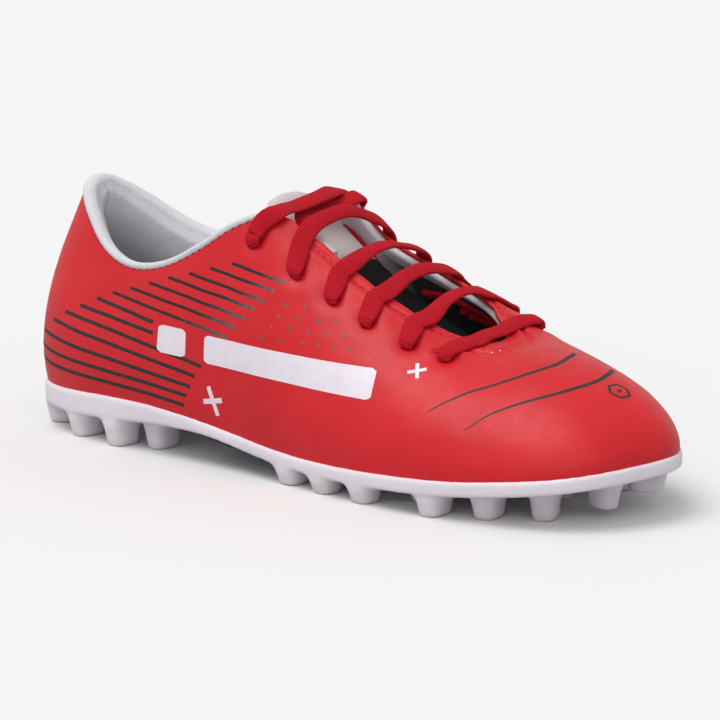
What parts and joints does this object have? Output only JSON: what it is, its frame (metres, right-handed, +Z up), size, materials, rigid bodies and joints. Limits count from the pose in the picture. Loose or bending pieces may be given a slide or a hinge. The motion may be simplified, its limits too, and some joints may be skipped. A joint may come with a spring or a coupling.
{
  "type": "soccer cleat",
  "caption": "Low-cut right football boot: laced synthetic upper with padded collar and tongue, lining layers, removable sockliner and one-piece outsole with moulded studs.",
  "frame": {"origin": "under the middle of the boot's box, on the ground that the studs stand on", "axes": "+X from heel to toe, +Y to the wearer's left (the inner side of this right boot), +Z up"},
  "size_m": [0.2764, 0.0984, 0.099],
  "materials": {
    "sole_white": "satin moulded polyurethane",
    "insert_navy": "satin",
    "stiffener_board": "fibre board",
    "sockliner_fabric": "knitted cloth on moulded foam",
    "upper_red": "satin synthetic leather",
    "lining_textile": "brushed textile",
    "eyestay_tape": "woven reinforcement tape",
    "foam": "open-cell foam",
    "tongue_pale": "soft padded synthetic",
    "tongue_mesh": "fine dark mesh",
    "lace_red": "flat woven polyester",
    "aglet_white": "shrunk plastic sleeve",
    "film_white": "heat-transfer film"
  },
  "bodies": {
    "boot": {"outsole_plate": "sole_white", "arch_insert": "insert_navy", "insole_board": "stiffener_board", "upper_shell": "upper_red", "quarter_lining": "lining_textile", "eyestay_tape_outer": "eyestay_tape", "eyestay_tape_inner": "eyestay_tape", "toe_puff": "stiffener_board", "heel_counter": "stiffener_board", "collar_foam": "foam", "lace_threaded": "lace_red", "lace_end_inner": "lace_red", "lace_end_outer": "lace_red", "aglet_inner": "aglet_white", "aglet_outer": "aglet_white", "side_bar_outer": "film_white", "side_square_outer": "film_white", "side_bar_inner": "film_white", "side_square_inner": "film_white"},
    "tongue": {"tongue_face_upper": "tongue_pale", "tongue_face_lower": "tongue_mesh", "tongue_foam": "foam", "tongue_lining": "lining_textile"},
    "liner": {"sockliner": "sockliner_fabric"}
  },
  "joints": [
    {"name": "tongue_press", "type": "hinge", "parent": "boot", "child": "tongue", "pos_m": [0.07426, 0.00248, 0.042], "axis": [0, -1, 0], "range_deg": [0, 12], "stiffness_Nm_per_rad": 0.25},
    {"name": "sockliner_lift", "type": "hinge", "parent": "boot", "child": "liner", "pos_m": [0.12826, -0.00002, 0.025], "axis": [0, 1, 0], "range_deg": [0, 3.5]}
  ]
}
